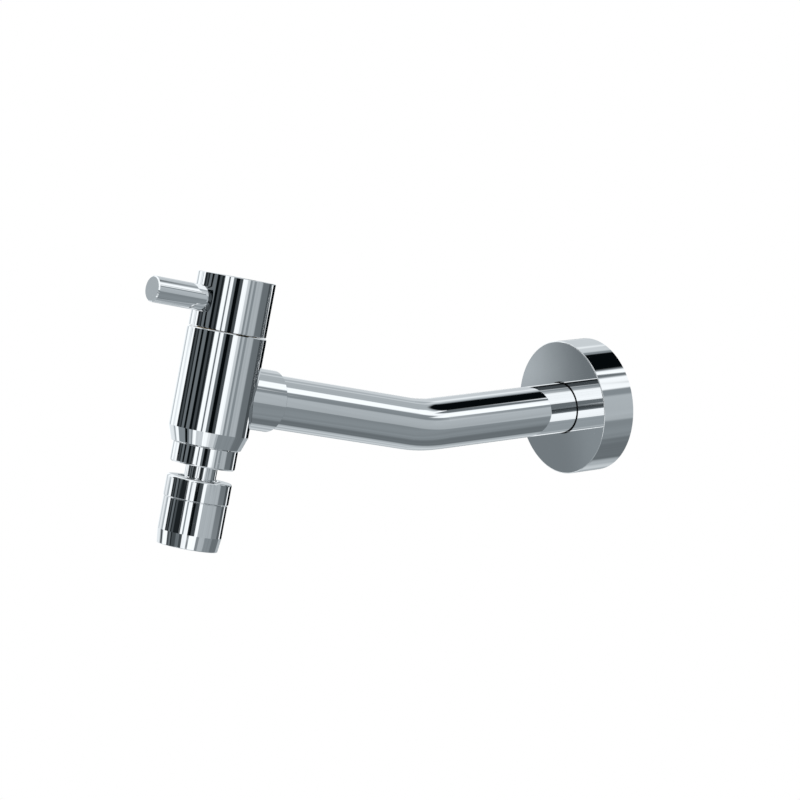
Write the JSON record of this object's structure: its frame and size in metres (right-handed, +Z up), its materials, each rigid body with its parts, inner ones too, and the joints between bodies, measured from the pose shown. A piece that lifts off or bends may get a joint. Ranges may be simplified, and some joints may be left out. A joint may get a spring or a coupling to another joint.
{
  "type": "wall-mounted kitchen tap",
  "caption": "Wall-mounted kitchen tap: round cover flange, bent supply arm, upright valve body with a quarter-turn lever handle, and a ball-jointed swivel aerator.",
  "frame": {"origin": "where the supply pipe's axis meets the finished wall", "axes": "+Y into the wall along the pipe thread, so the tap stands out towards -Y; +Z up; X = 0 is the plane of symmetry"},
  "size_m": [0.0586, 0.2391, 0.1133],
  "materials": {
    "chrome": "polished chrome plate",
    "brass": "turned brass",
    "steel": "stainless steel",
    "black_rubber": "moulded rubber",
    "ceramic": "lapped ceramic",
    "white_plastic": "slippery plastic",
    "grey_plastic": "moulded plastic"
  },
  "bodies": {
    "arm": {"inlet_nipple": "brass", "arm_tube": "chrome", "arm_collar": "chrome", "arm_ferrule": "brass", "ferrule_washer": "black_rubber", "valve_body": "chrome", "cartridge_housing": "brass", "cartridge_o_ring": "black_rubber", "seat_seal": "black_rubber", "fixed_disc": "ceramic", "collar_nut": "chrome", "collar_washer": "black_rubber", "neck_washer": "white_plastic", "neck_clip": "steel"},
    "flange_grip": {"flange_o_ring": "black_rubber"},
    "flange": {"wall_flange": "chrome"},
    "handle": {"moving_disc": "ceramic", "spindle": "brass", "spindle_o_rings": "black_rubber", "thrust_washer": "white_plastic", "stop_washer": "steel", "spindle_clip": "steel", "handle_hub": "brass", "handle_cap": "chrome", "lever": "chrome", "grub_screw": "steel"},
    "neck": {"swivel_neck": "chrome", "neck_o_ring": "black_rubber"},
    "seat": {"ball_seat": "white_plastic", "seat_o_ring": "black_rubber"},
    "outlet": {"upper_shell": "chrome", "shell_washer": "black_rubber", "lower_shell": "chrome", "aerator_body": "grey_plastic", "aerator_screens": "steel", "diffuser_disc": "grey_plastic"}
  },
  "joints": [
    {"name": "flange_slide", "type": "slide", "parent": "arm", "child": "flange_grip", "axis": [0, -1, 0], "range_m": [0, 0.06]},
    {"name": "flange_spin", "type": "hinge", "parent": "flange_grip", "child": "flange", "pos_m": [0, 0, 0], "axis": [0, -1, 0], "continuous": true},
    {"name": "handle_turn", "type": "hinge", "parent": "arm", "child": "handle", "pos_m": [0, -0.1961, 0.02402], "axis": [0, 0.23, 0.9732], "range_deg": [0, 90]},
    {"name": "neck_spin", "type": "hinge", "parent": "arm", "child": "neck", "pos_m": [0, -0.1961, 0.02402], "axis": [0, 0.23, 0.9732], "continuous": true},
    {"name": "outlet_tilt", "type": "hinge", "parent": "neck", "child": "seat", "pos_m": [0, -0.20572, -0.01666], "axis": [1, 0, 0], "range_deg": [-15, 15]},
    {"name": "outlet_spin", "type": "hinge", "parent": "seat", "child": "outlet", "pos_m": [0, -0.20572, -0.01666], "axis": [0, 0.23, 0.9732], "continuous": true}
  ]
}
